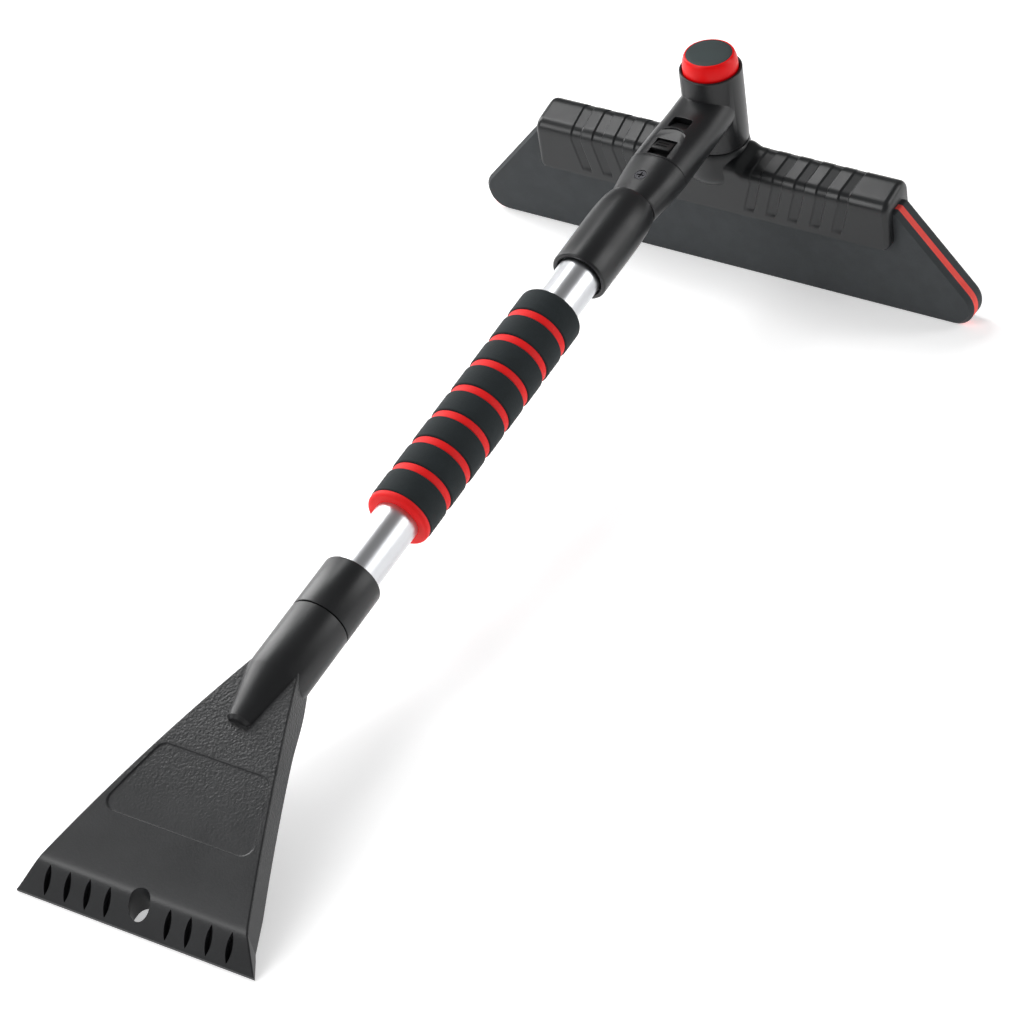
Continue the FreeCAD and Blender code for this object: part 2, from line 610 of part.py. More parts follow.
finish("swivel_bolt", turned("bolt_body", hub, [
    ("0", "hub_base_z"), ("bolt_r", "hub_base_z"), ("bolt_r", gear_high),
    ("bolt_head_r", gear_high), ("bolt_head_r", f"{gear_high} + bolt_head_h - 0.5"),
    ("bolt_head_r - 0.5", f"{gear_high} + bolt_head_h"), ("0", f"{gear_high} + bolt_head_h")]))
finish("wear_ring", tube_piece("wear_body", hub, "boss_top_z", "boss_top_z + wear_thick",
                               "wear_r", "journal_r"))

# ---- push button with its sliding lock ring ----------------------------------------------------

finish("button_ring", turned("ring_body", hub, [
    ("ring_r - 2", "lock_top_z"), ("ring_r", "lock_top_z"), ("ring_r", "rim_z + 1", "8", -1),
    ("cap_r + 0.6", "cap_seat_z + 4.2"), ("cap_r", "cap_seat_z + 4.2"), ("cap_r", "cap_seat_z"),
    ("0", "cap_seat_z"), ("0", "cap_seat_z - 2.5"), ("ring_r - 2", "cap_seat_z - 2.5")]))
finish("button_cap", turned("cap_body", hub, [
    ("0", "cap_seat_z"), ("cap_r", "cap_seat_z"), ("cap_r", "rim_z + cap_top - 1"),
    ("cap_r - 1", "rim_z + cap_top"), ("0", "rim_z + cap_top")]))

lock_low, lock_high = "gear_z + 0.2", "gear_z + 0.2 + lock_thick"
lock_keys = [around_hub(block(f"lock_key_{index}", None, ("lock_bore_r - 1", "- 0.5*key_w", lock_low),
                              ("lock_bore_r + key_h - play", "0.5*key_w", lock_high)), index, KEYS)
             for index in range(KEYS)]
lock_solid = join("lock_solid",
                  tube_piece("lock_disc", hub, lock_low, lock_high, "lock_bore_r - play",
                             "gear_root_r + play"),
                  tube_piece("lock_tube", hub, lock_low, "lock_top_z", "lock_bore_r - play",
                             "ring_r - 2"), *lock_keys)
finish("lock_ring", cut("lock_cut", lock_solid, star(
    "lock_gaps", difference(lock_low, "1"), f"{lock_high} + 1", "gear_tip_r + play", "gap_w")))

coil = doc.addObject("Part::Helix", "spring_line")
bind(coil, "Radius", "spring_r")
bind(coil, "Height", "cap_seat_z - 2.5 - gear_z - gear_thick - 2*spring_wire_r - 0.1")
coil.Pitch = value("cap_seat_z - 2.5 - gear_z - gear_thick - 2*spring_wire_r - 0.1") / value(
    "spring_turns")
wire = doc.addObject("Part::Circle", "spring_wire")
bind(wire, "Radius", "spring_wire_r")
wire.Placement = FreeCAD.Placement(FreeCAD.Vector(value("spring_r"), 0, 0),
                                   FreeCAD.Rotation(FreeCAD.Vector(1, 0, 0), 90))
spring = doc.addObject("Part::Sweep", "spring_sweep")
spring.Sections = [wire]
spring.Spine = (coil, [])
spring.Solid = True
spring.Frenet = True
spring.Placement = FreeCAD.Placement(
    FreeCAD.Vector(0, value("hub_y"), value("gear_z + gear_thick + spring_wire_r + 0.05")),
    FreeCAD.Rotation())
finish("button_spring", spring)

# ---- clip that grips the foam ----------------------------------------------------------------

CLIP_FRONT = [("clip_split_y", "clip_low_z"), ("clip_front_y", "clip_low_z"),
              ("clip_front_y", "clip_bend_z", "clip_front_r", 1), ("clip_roof_y", "clip_roof_z"),
              ("clip_split_y", "clip_crest_z - 0.79")]
CLIP_REAR = [("clip_split_y", "clip_low_z"), ("clip_split_y", "clip_crest_z - 0.79"),
             ("clip_crest_y", "clip_crest_z", "clip_back_in", 1), ("clip_rear_y", "clip_back_z"),
             ("clip_rear_y", "clip_low_z")]
foam_space = slab("foam_space", hub, "YZ_Plane", [
    ("foam_front_y", "0"), ("foam_rear_y", "0"), ("foam_rear_y", "foam_top_z"),
    ("foam_front_y", "foam_top_z")], "300", midplane=True)
foot_space = block("foot_space", hub, ("- foot_x", "- foot_half_y", "foot_low_z"),
                   ("foot_x", "foot_half_y", "foot_high_z"))
post_way = rod("post_way", hub, "foot_low_z", "boss_top_z + 1", "journal_r")


def screw_spots():
    for side in ("- ", ""):
        for place in ("clip_screw_in", "clip_screw_out"):
            yield side + place


def screw_rods(name, radius, near, far):
    """Round rods along Y at each clip screw's place, from the near face forwards to the far one."""
    rods = []
    for index, place in enumerate(screw_spots()):
        body = new_body(f"{name}_{index}", hub)
        sketch = new_sketch(body, body.Name + "_outline", "XZ_Plane", difference("0", near))
        add_circle(sketch, place, "clip_screw_z", radius)
        pad(body, sketch, difference(near, far))
        rods.append(body)
    return rods


screw_ways = group("clip_screw_ways", *screw_rods("clip_screw_way", "clip_screw_r", "20",
                                                  "clip_screw_end_y"))
head_ways = group("clip_screw_head_ways", *screw_rods("clip_head_way", "clip_screw_head_r", "20",
                                                      "clip_rear_y - 2.5"))
flutes = []
for side in (-1, 1):
    for index in range(int(SIZES["flute_count"])):
        flute = new_body(f"flute_{index}_{'left' if side < 0 else 'right'}", hub)
        middle = side * (SIZES["flute_first"] + index * SIZES["flute_pitch"])
        sketch = new_sketch(flute, flute.Name + "_profile", "YZ_Plane")
        sketch.AttachmentOffset = FreeCAD.Placement(FreeCAD.Vector(0, 0, middle), FreeCAD.Rotation())
        add_outline(sketch, [
            ("clip_front_y + flute_deep", "flute_low_z"),
            ("clip_front_y + flute_deep", "clip_bend_z", "clip_front_r - flute_deep", 1),
            ("clip_roof_y + 0.22", "clip_roof_z - 0.97"), ("clip_split_y - 1", "clip_crest_z - 1.8"),
            ("clip_split_y - 1", "80"), ("- 20", "80"), ("- 20", "flute_low_z")])
        pad(flute, sketch, "flute_w", midplane=True)
        flutes.append(flute)

front_half = block("front_half", hub, ("- 20", "- 20", "boss_low_z"), ("20", "clip_split_y", "90"))
front_boss = common("front_boss", rod("boss_rod", hub, "boss_low_z", "boss_top_z", "boss_r"),
                    front_half)
rear_half = block("rear_half", hub, ("- 20", "clip_split_y", "foot_low_z"), ("20", "20", "90"))
rear_boss = common("rear_boss", rod("rear_boss_rod", hub, "foot_low_z", "boss_top_z", "boss_r"),
                   rear_half)
front_wall = slab("clip_front_wall", hub, "YZ_Plane", CLIP_FRONT, "2*clip_end_x", midplane=True)
rear_wall = slab("clip_rear_wall", hub, "YZ_Plane", CLIP_REAR, "2*clip_end_x", midplane=True)
finish("head_clip_front", cut(
    "clip_front_cut", join("clip_front_solid", cut("clip_front_fluted", front_wall, *flutes),
                           front_boss),
    foam_space, foot_space, post_way, screw_ways))
finish("head_clip_rear", cut("clip_rear_cut", join("clip_rear_solid", rear_wall, rear_boss),
                             foam_space, foot_space, post_way, screw_ways, head_ways))

shanks = screw_rods("clip_screw_shank", "clip_screw_r", "clip_rear_y - 2.5", "clip_screw_end_y")
heads = screw_rods("clip_screw_head", "clip_screw_head_r", "clip_rear_y - 0.7", "clip_rear_y - 2.5")
finish("clip_screws", group("clip_screw_set", *[
    join(f"clip_screw_{index}", shank, head) for index, (shank, head) in enumerate(zip(shanks, heads))]))

# ---- foam board in three bonded layers ---------------------------------------------------------


def foam_layer(label, front, rear):
    """One layer of the board, cut to the trapezoid with rounded lower corners."""
    body = new_body(label + "_board", hub)
    sketch = new_sketch(body, label + "_outline", "XZ_Plane", difference("0", rear))
    add_outline(sketch, [
        ("- foam_foot_x", "0"), ("foam_foot_x", "0", "foam_corner_r", -1),
        ("foam_knee_x", "foam_knee_z"), ("foam_top_x", "foam_top_z"),
        ("- foam_top_x", "foam_top_z"), ("- foam_knee_x", "foam_knee_z", "foam_corner_r", -1)])
    pad(body, sketch, difference(rear, front))
    finish(label, cut(label + "_drilled", body, screw_ways))


foam_layer("foam_front", "foam_front_y", "foam_core_y")
foam_layer("foam_core", "foam_core_y", "foam_back_y")
foam_layer("foam_rear", "foam_back_y", "foam_rear_y")

# ---- check and write -------------------------------------------------------------------------

doc.recompute()
faulty = [item.Name for item in doc.Objects if "Invalid" in item.State or "Error" in item.State]
if faulty:
    raise RuntimeError("objects that failed to build: " + ", ".join(faulty))
os.makedirs("parts", exist_ok=True)
for item in nodes:
    if item.Shape.isNull() or not item.Shape.isValid() or not item.Shape.Solids:
        raise RuntimeError(item.Label + " has no valid solid")
    box = item.Shape.BoundBox
    print(f"{item.Label:18s} solids {len(item.Shape.Solids)} volume {item.Shape.Volume:10.1f} "
          f"x {box.XMin:8.2f} {box.XMax:8.2f} y {box.YMin:8.2f} {box.YMax:8.2f} "
          f"z {box.ZMin:7.2f} {box.ZMax:7.2f}")
    item.Shape.exportStep(f"parts/{item.Label}.step")
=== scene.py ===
"""Winter car tool: a toothed ice scraper and a swivelling foam snow head on one tube handle."""
import math

import bmesh
import bpy
from mathutils import Matrix, Vector


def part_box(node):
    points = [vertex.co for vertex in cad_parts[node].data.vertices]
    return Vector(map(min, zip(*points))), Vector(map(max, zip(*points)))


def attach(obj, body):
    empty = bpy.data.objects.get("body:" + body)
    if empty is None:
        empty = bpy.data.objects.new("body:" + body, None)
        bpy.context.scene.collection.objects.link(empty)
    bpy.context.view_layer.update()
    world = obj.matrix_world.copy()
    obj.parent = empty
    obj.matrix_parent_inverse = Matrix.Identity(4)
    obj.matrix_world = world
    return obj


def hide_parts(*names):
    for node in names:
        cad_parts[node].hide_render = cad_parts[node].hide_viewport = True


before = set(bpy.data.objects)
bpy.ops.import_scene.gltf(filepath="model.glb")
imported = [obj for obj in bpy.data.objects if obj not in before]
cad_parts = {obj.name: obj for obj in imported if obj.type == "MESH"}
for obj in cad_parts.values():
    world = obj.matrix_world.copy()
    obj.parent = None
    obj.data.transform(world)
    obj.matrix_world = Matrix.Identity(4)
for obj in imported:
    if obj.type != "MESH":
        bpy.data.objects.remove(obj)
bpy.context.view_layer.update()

MM = 0.001
cap_low, cap_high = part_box("button_cap")
HUB_Y = (cap_low[1] + cap_high[1]) / 2 / MM
CAP_TOP = cap_high[2] / MM
RIM = CAP_TOP - 8.25
POLE_HEIGHT = RIM - 17.12
POLE_SLOPE = 7.62

# Two working frames, both in millimetres.  Hub: X along the head, Y forwards, Z up, origin on the
# floor under the swivel.  Pole: X across, Y up from the handle's axis, Z down the handle.
SCALE = Matrix.Scale(MM, 4)
HUB = Matrix.Translation((0, HUB_Y * MM, 0)) @ SCALE
POLE = (Matrix.Translation((0, HUB_Y * MM, POLE_HEIGHT * MM))
        @ Matrix.Rotation(math.radians(90 + POLE_SLOPE), 4, "X") @ SCALE)


# ---- shapes in plain numbers ---------------------------------------------------------------------

def clamp(value, low=0.0, high=1.0):
    return max(low, min(high, value))


def ease(value):
    """A smooth step from 0 to 1."""
    value = clamp(value)
    return value * value * (3 - 2 * value)


def spread(low, high, step):
    """Even stations from low to high, about step apart."""
    count = max(1, round((high - low) / step))
    return [low + (high - low) * index / count for index in range(count + 1)]


def follow(stops, place):
    """Read a smooth curve given by (place, value, value...) stops."""
    last = len(stops) - 1
    index = 0
    while index < last - 1 and place > stops[index + 1][0]:
        index += 1
    before, start, end = stops[max(index - 1, 0)], stops[index], stops[index + 1]
    after = stops[min(index + 2, last)]
    run = end[0] - start[0]
    part = clamp((place - start[0]) / run)
    values = []
    for column in range(1, len(start)):
        rise_in = (end[column] - before[column]) / max(end[0] - before[0], 1e-6) * run
        rise_out = (after[column] - start[column]) / max(after[0] - start[0], 1e-6) * run
        a = 2 * start[column] - 2 * end[column] + rise_in + rise_out
        b = 3 * end[column] - 3 * start[column] - 2 * rise_in - rise_out
        values.append(((a * part + b) * part + rise_in) * part + start[column])
    return values


def arc(x, y, radius, first, last, count=8):
    """Points of an arc, by angles in degrees."""
    angles = [math.radians(first + (last - first) * index / count) for index in range(count + 1)]
    return [(x + radius * math.cos(angle), y + radius * math.sin(angle)) for angle in angles]


def rounded(corners, count=6):
    """An outline whose corners (x, y, radius) are rounded."""
    points = []
    for index, (x, y, radius) in enumerate(corners):
        here = Vector((x, y))
        to_last = Vector(corners[index - 1][:2]) - here
        to_next = Vector(corners[(index + 1) % len(corners)][:2]) - here
        if radius <= 0:
            points.append((x, y))
            continue
        to_last.normalize()
        to_next.normalize()
        half = to_last.angle(to_next) / 2
        centre = here + (to_last + to_next).normalized() * (radius / math.sin(half))
        start = here + to_last * (radius / math.tan(half)) - centre
        sweep = start.angle_signed(here + to_next * (radius / math.tan(half)) - centre)
        for step in range(count + 1):
            turn = Matrix.Rotation(-sweep * step / count, 2)
            points.append(tuple(centre + turn @ start))
    return points


def inset(corners, depth):
    """The same corners with every side moved inwards; corners run counter-clockwise."""
    moved = []
    for index, (x, y, radius) in enumerate(corners):
        here = Vector((x, y))
        back = (here - Vector(corners[index - 1][:2])).normalized()
        ahead = (Vector(corners[(index + 1) % len(corners)][:2]) - here).normalized()
        normal_back, normal_ahead = Vector((-back.y, back.x)), Vector((-ahead.y, ahead.x))
        middle = (normal_back + normal_ahead).normalized()
        spot = here + middle * (depth / middle.dot(normal_back))
        moved.append((spot.x, spot.y, max(radius - depth, 0.3) if radius else 0))
    return moved


def oval(across, up, half_width, half_height, along, power=2.25, count=96):
    """One ring of an arm: a slightly squared oval."""
    ring = []
    for index in range(count):
        angle = 2 * math.pi * index / count
        cosine, sine = math.cos(angle), math.sin(angle)
        ring.append((across + half_width * math.copysign(abs(cosine) ** (2 / power), cosine),
                     up + half_height * math.copysign(abs(sine) ** (2 / power), sine), along))
    return ring


# ---- pieces --------------------------------------------------------------------------------------

def make(name, points, faces, place):
    """One object from points in a working frame; doubled points are merged."""
    mesh = bpy.data.meshes.new(name)
    mesh.from_pydata([place @ Vector(point) for point in points], [], faces)
    work = bmesh.new()
    work.from_mesh(mesh)
    bmesh.ops.remove_doubles(work, verts=work.verts, dist=2e-6)
    bmesh.ops.dissolve_degenerate(work, edges=work.edges, dist=1e-6)
    bmesh.ops.recalc_face_normals(work, faces=work.faces)
    work.to_mesh(mesh)
    work.free()
    piece = bpy.data.objects.new(name, mesh)
    bpy.context.scene.collection.objects.link(piece)
    return piece


def skin(name, rings, place, closed=False):
    """A closed surface through rings of equal count, capped at both ends unless it closes on itself."""
    size = len(rings[0])
    points = [point for ring in rings for point in ring]
    faces = []
    for index in range(len(rings) if closed else len(rings) - 1):
        here, there = index * size, ((index + 1) % len(rings)) * size
        for step in range(size):
            after = (step + 1) % size
            faces.append((here + step, here + after, there + after, there + step))
    if not closed:
        faces.append(tuple(range(size)))
        faces.append(tuple(range(len(points) - size, len(points))))
    return make(name, points, faces, place)


def turned(name, profile, place, count=128):
    """A piece turned about local Z from a closed outline of (radius, height)."""
    rings = []
    for index in range(count):
        angle = 2 * math.pi * index / count
        rings.append([(radius * math.cos(angle), radius * math.sin(angle), height)
                      for radius, height in profile])
    return skin(name, rings, place, closed=True)


def prism(name, outline, low, high, place, axes="xyz"):
    """An outline made thick; axes name the outline's first and second direction and the thickness."""
    order = [axes.index(letter) for letter in "xyz"]
    rings = [[tuple((x, y, depth)[slot] for slot in order) for x, y in outline]
             for depth in (low, high)]
    return skin(name, rings, place)


def gather(name, pieces):
    """Several closed pieces as one object."""
    work = bmesh.new()
    for piece in pieces:
        work.from_mesh(piece.data)
    first = pieces[0]
    work.to_mesh(first.data)
    work.free()
    for piece in pieces[1:]:
        bpy.data.objects.remove(piece)
    first.name = name
    return first


def settle(piece):
    """Make the modifiers' result the piece's own mesh."""
    bpy.context.view_layer.update()
    ready = piece.evaluated_get(bpy.context.evaluated_depsgraph_get())
    mesh = bpy.data.meshes.new_from_object(ready)
    piece.modifiers.clear()
    piece.data = mesh
    return piece


def combine(piece, tools, operation):
    """Cut tools out of a piece or join them to it; the tools are used up."""
    for tool in tools:
        change = piece.modifiers.new(operation.lower(), "BOOLEAN")
        change.operation = operation
        change.solver = "EXACT"
        change.object = tool
    settle(piece)
    for tool in tools:
        bpy.data.objects.remove(tool)
    return piece


def carve(piece, *tools):
    return combine(piece, tools, "DIFFERENCE")


def weld(piece, *others):
    return combine(piece, others, "UNION")


def ease_edges(piece, width, segments=3, angle=35):
    """Round the edges sharper than an angle."""
    change = piece.modifiers.new("edges", "BEVEL")
    change.width = width * MM
    change.segments = segments
    change.limit_method = "ANGLE"
    change.angle_limit = math.radians(angle)
    change.harden_normals = False
    return settle(piece)


def dress(piece, body, finish, replaced=(), angle=32):
    """Give a piece its finish, its body and the nodes that it stands for."""
    piece.data.materials.clear()
    piece.data.materials.append(finish)
    piece.data.polygons.foreach_set("use_smooth", [True] * len(piece.data.polygons))
    piece.data.set_sharp_from_angle(angle=math.radians(angle))
    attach(piece, body)
    if replaced:
        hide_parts(*replaced)
    return piece


# ---- finishes ------------------------------------------------------------------------------------

class Wire:
    """A socket in a finish.  Arithmetic on it adds Math nodes."""

    def __init__(self, finish, socket):
        self.finish = finish
        self.socket = socket

    def apply(self, operation, *values):
        return self.finish.node("ShaderNodeMath", {"operation": operation}, *values)[0]

    def __add__(self, other):
        return self.apply("ADD", self, other)

    def __radd__(self, other):
        return self.apply("ADD", other, self)

    def __sub__(self, other):
        return self.apply("SUBTRACT", self, other)

    def __rsub__(self, other):
        return self.apply("SUBTRACT", other, self)

    def __mul__(self, other):
        return self.apply("MULTIPLY", self, other)

    def __rmul__(self, other):
        return self.apply("MULTIPLY", other, self)

    def __truediv__(self, other):
        return self.apply("DIVIDE", self, other)

    def between(self, low, high):
        """0 at low and 1 at high, smooth in between."""
        return self.finish.node("ShaderNodeMapRange", {"interpolation_type": "SMOOTHSTEP"},
                                self, low, high)[0]


class Finish:
    """A material whose look is worked out by nodes."""

    def __init__(self, name, color, roughness, **constants):
        self.material = bpy.data.materials.new(name)
        self.material.use_nodes = True
        self.material.diffuse_color = (*color, 1)
        self.tree = self.material.node_tree
        self.surface = self.tree.nodes["Principled BSDF"]
        self.color = color
        self.set("Base Color", (*color, 1))
        self.set("Roughness", roughness)
        for label, value in constants.items():
            self.set(label.replace("_", " "), value)
        self.place = self.node("ShaderNodeTexCoord")[3]

    def set(self, label, value):
        self.connect(self.surface.inputs[label], value)

    def connect(self, socket, value):
        if isinstance(value, Wire):
            self.tree.links.new(value.socket, socket)
        else:
            socket.default_value = value

    def node(self, kind, settings=None, *values, **named):
        """Add a node: its type, its settings, then its sockets in order or by name."""
        item = self.tree.nodes.new(kind)
        for label, value in (settings or {}).items():
            setattr(item, label, value)
        for socket, value in zip(item.inputs, values):
            if value is not None:
                self.connect(socket, value)
        for label, value in named.items():
            self.connect(item.inputs[label.replace("_", " ")], value)
        return [Wire(self, socket) for socket in item.outputs if socket.enabled]

    def noise(self, scale, detail=3.0, roughness=0.5, at=None):
        return self.node("ShaderNodeTexNoise", {}, Vector=at or self.place, Scale=scale,
                         Detail=detail, Roughness=roughness)[0]

    def cells(self, scale, feature="F1", at=None):
        return self.node("ShaderNodeTexVoronoi", {"feature": feature}, Vector=at or self.place,
                         Scale=scale)[0]

    def shade(self, amount, other):
        """Mix the base colour towards another by an amount that changes over the surface."""
        return self.node("ShaderNodeMix", {"data_type": "RGBA"}, amount, None, None, None, None, None,
                         (*self.color, 1), (*other, 1))[0]

    def bump(self, height, distance, strength=1.0):
        self.set("Normal", self.node("ShaderNodeBump", {}, Height=height, Distance=distance * MM,
                                     Strength=strength)[0])

    def axis(self, letter):
        parts = self.node("ShaderNodeSeparateXYZ", {}, self.place)
        return parts["xyz".index(letter)]


def moulded_plastic(name, color=(0.011, 0.0115, 0.0125), roughness=0.34):
    """Satin black plastic with a fine spark texture and slightly rubbed patches."""
    finish = Finish(name, color, roughness, Specular_IOR_Level=0.42)
    patches = finish.noise(45.0, 4.0).between(0.35, 0.75)
    speck = finish.noise(2600.0, 2.0)
    finish.set("Base Color", finish.shade(0.12 + 0.35 * patches, tuple(1.7 * part for part in color)))
    finish.set("Roughness", roughness - 0.03 + 0.07 * patches + 0.06 * speck)
    finish.bump(speck, 0.012)
    return finish.material


def pebbled_plastic(name):
    """Blade plastic: a leathery grain that fades out towards the scraping edge."""
    finish = Finish(name, (0.012, 0.0128, 0.014), 0.42, Specular_IOR_Level=0.42)
    grainy = finish.axis("y").between(-0.25, -0.18)
    fine = finish.noise(1900.0, 2.0)
    pebbles = finish.cells(850.0, "SMOOTH_F1") + 0.7 * finish.noise(1200.0, 3.0)
    patches = finish.noise(30.0, 4.0).between(0.35, 0.7)
    finish.set("Base Color", finish.shade(0.15 + 0.35 * patches, (0.022, 0.023, 0.025)))
    finish.set("Roughness", 0.36 + 0.05 * patches + 0.06 * grainy)
    finish.bump(pebbles * (0.08 + 0.92 * grainy) + 0.1 * fine, 0.26)
    return finish.material


def drawn_aluminium(name):
    """Satin tube with faint lines along its length."""
    finish = Finish(name, (0.7, 0.71, 0.73), 0.3, Metallic=1.0)
    level = finish.node("ShaderNodeVectorRotate", {"rotation_type": "X_AXIS"}, Vector=finish.place,
                        Angle=-math.radians(POLE_SLOPE))[0]
    drawn = finish.node("ShaderNodeVectorMath", {"operation": "MULTIPLY"}, level,
                        (4000.0, 12.0, 4000.0))[0]
    lines = finish.noise(1.0, 3.0, 0.6, drawn)
    patches = finish.noise(60.0, 3.0)
    finish.set("Base Color", finish.shade(0.6 * lines, (0.6, 0.61, 0.63)))
    finish.set("Roughness", 0.25 + 0.1 * lines + 0.05 * patches)
    finish.bump(lines, 0.0015)
    return finish.material


def cell_foam(name, color, light, roughness=0.8, cell=1500.0, depth=0.05):
    """Closed-cell foam: tiny pores, a dusty sheen and mottled shade."""
    finish = Finish(name, color, roughness, Sheen_Weight=0.03, Sheen_Roughness=0.5,
                    Specular_IOR_Level=0.3)
    pores = finish.cells(cell)
    mottle = finish.noise(120.0, 5.0, 0.6)
    finish.set("Base Color", finish.shade(0.25 * pores + 0.6 * mottle.between(0.3, 0.75), light))
    finish.set("Roughness", roughness - 0.06 + 0.12 * mottle)
    finish.bump(pores + 0.6 * mottle, depth)
    return finish.material


def plated_steel(name, color=(0.42, 0.42, 0.43)):
    """Screws, pins and spring: dull metal rubbed in patches."""
    finish = Finish(name, color, 0.35, Metallic=1.0)
    rubbed = finish.noise(700.0, 4.0)
    finish.set("Base Color", finish.shade(rubbed, tuple(0.7 * part for part in color)))
    finish.set("Roughness", 0.28 + 0.2 * rubbed)
    finish.bump(rubbed, 0.01)
    return finish.material


def glossy_red(name):
    """The button's bright moulded ring."""
    finish = Finish(name, (0.92, 0.002, 0.004), 0.36, Specular_IOR_Level=0.22)
    haze = finish.noise(90.0, 4.0)
    finish.set("Base Color", finish.shade(haze.between(0.4, 0.8), (0.96, 0.006, 0.006)))
    finish.set("Roughness", 0.32 + 0.1 * haze)
    finish.bump(finish.noise(2200.0, 2.0), 0.006)
    return finish.material


BLACK = moulded_plastic("satin_black")
NECK = moulded_plastic("neck_black", (0.0115, 0.012, 0.013), 0.32)
CLIP = moulded_plastic("clip_black", (0.011, 0.012, 0.013), 0.3)
LATCH = moulded_plastic("latch_black", (0.004, 0.0043, 0.0047), 0.45)
BLADE = pebbled_plastic("blade_black")
TUBE = drawn_aluminium("drawn_tube")
STEEL = plated_steel("plated_steel")
DARK_STEEL = plated_steel("blackened_screw", (0.06, 0.06, 0.065))
RED = glossy_red("button_red")
SLATE = moulded_plastic("cap_slate", (0.026, 0.038, 0.039), 0.5)
GRIP = cell_foam("grip_foam", (0.012, 0.017, 0.019), (0.02, 0.027, 0.03))
GRIP_RED = cell_foam("grip_red", (0.9, 0.003, 0.004), (0.95, 0.008, 0.008), 0.6)
BOARD = cell_foam("board_foam", (0.036, 0.04, 0.043), (0.05, 0.055, 0.059), 0.7, 1900.0, 0.03)
BOARD_RED = cell_foam("board_red", (0.93, 0.07, 0.055), (0.98, 0.12, 0.1), 0.7, 1900.0, 0.03)


# ---- handle: grip, sleeve, collar ----------------------------------------------------------------

def soft_band(name, low, high, radius, bore, corner_low, corner_high):
    """One ring of the grip, with rounded outer edges."""
    profile = [(bore, low)] + arc(radius - corner_low, low + corner_low, corner_low, -90, 0, 6)
    profile += arc(radius - corner_high, high - corner_high, corner_high, 0, 90, 6)
    profile += [(bore, high)]
    return turned(name, profile, POLE, 96)


GRIP_START, GRIP_END = 160.0, 301.0
RING_FIRST, RING_PITCH, RING_COUNT, RING_WIDTH = 177.0, 17.4, 7, 4.4
END_RING = 3.2


def build_grip():
    bands, rings = [], []
    start = GRIP_START
    for index in range(RING_COUNT + 1):
        middle = RING_FIRST + index * RING_PITCH
        last = index == RING_COUNT
        stop = GRIP_END - END_RING if last else middle - RING_WIDTH / 2
        bands.append(soft_band(f"band_{index}", start, stop, 16.1, 11.0,
                               2.6 if index == 0 else 0.9, 0.9))
        ring_end = GRIP_END if last else middle + RING_WIDTH / 2
        rings.append(soft_band(f"ring_{index}", stop, ring_end, 15.8 if last else 15.45, 11.0,
                               0.5, 1.6 if last else 0.5))
        start = ring_end
    dress(gather("grip_bands", bands), "handle", GRIP, ["grip_foam_bands"], 40)
    dress(gather("grip_rings", rings), "handle", GRIP_RED, ["grip_red_rings"], 40)


def build_sleeve():
    outside = [(12.2, 83.4), (12.6, 84.4), (13.35, 87.2), (13.85, 91.0), (14.15, 96.0), (14.3, 102.0),
               (14.32, 112.0), (14.25, 125.0)]
    profile = [(10.4, 83.4)] + outside + arc(13.25, 133.6, 1.0, 0, 90, 5)
    profile += arc(12.6, 134.0, 0.6, 90, 180, 4) + [(11.9, 131.8), (11.05, 131.2), (11.05, 88.0),
                                                    (10.4, 88.0)]
    dress(turned("sleeve_body", profile, POLE), "handle", BLACK, ["sleeve"], 40)


def build_collar():
    profile = [(11.05, 340.2), (11.7, 340.2)] + arc(12.9, 340.0, 1.0, 180, 270, 4)
    profile += arc(13.6, 340.0, 1.0, -90, 0, 5) + arc(14.3, 366.8, 0.35, 0, 90, 3) + [(11.05, 367.15)]
    dress(turned("collar_body", profile, POLE), "handle", BLACK, ["lower_collar"], 40)


# ---- scraper -------------------------------------------------------------------------------------

ROOT, KINK, TIP = 397.0, 517.5, 529.4
TIP_UP = -26.3
WIDTH_STOPS = [(ROOT, 11.2), (KINK, 55.4), (TIP, 63.0)]
UNDER_STOPS = [(397.0, -6.9), (411.0, -10.7), (431.5, -11.2), (450.0, -13.9), (468.0, -17.5),
               (485.0, -21.6), (502.0, -26.5)]
TOP_FIRST, TOP_LAST, TOP_BOW = (397.0, 8.5), (517.5, -14.2), 600.0
SKIN, WALL, HOLLOW_END = 2.8, 2.6, 508.0
PANEL = [(-28.5, 451.6, 5.5), (28.5, 451.6, 5.5), (40.5, 488.0, 5.5), (-40.5, 488.0, 5.5)]


def floor_at(along):
    """The floor's height, measured in the pole frame."""
    slope = math.radians(POLE_SLOPE)
    return (along * math.sin(slope) - POLE_HEIGHT) / math.cos(slope)


def straight(stops, place):
    """Read a polyline given by (place, value) stops."""
    for (first, low), (last, high) in zip(stops, stops[1:]):
        if place <= last:
            return low + (high - low) * (place - first) / (last - first)
    return stops[-1][1]


def blade_top(along):
    """Height of the blade's upper face over the handle axis."""
    if along >= KINK:
        past = along - KINK
        softening = 0.35 * math.exp(-past / 0.9)
        return TOP_LAST[1] + (TIP_UP - TOP_LAST[1]) * past / (TIP - KINK) - softening
    part = (along - TOP_FIRST[0]) / (TOP_LAST[0] - TOP_FIRST[0])
    chord = TOP_FIRST[1] + (TOP_LAST[1] - TOP_FIRST[1]) * part
    half = math.dist(TOP_FIRST, TOP_LAST) / 2
    across = (2 * part - 1) * half
    bow = math.sqrt(TOP_BOW ** 2 - across ** 2) - math.sqrt(TOP_BOW ** 2 - half ** 2)
    return chord + bow - 0.35 * math.exp(-(KINK - along) / 0.9)


def blade_under(along):
    floor = floor_at(along) + 0.05
    if along >= 520.0:
        return floor
    if along <= 502.0:
        return follow(UNDER_STOPS, along)[0]
    return -26.5 + (floor_at(520.0) + 0.05 + 26.5) * (along - 502.0) / 18.0


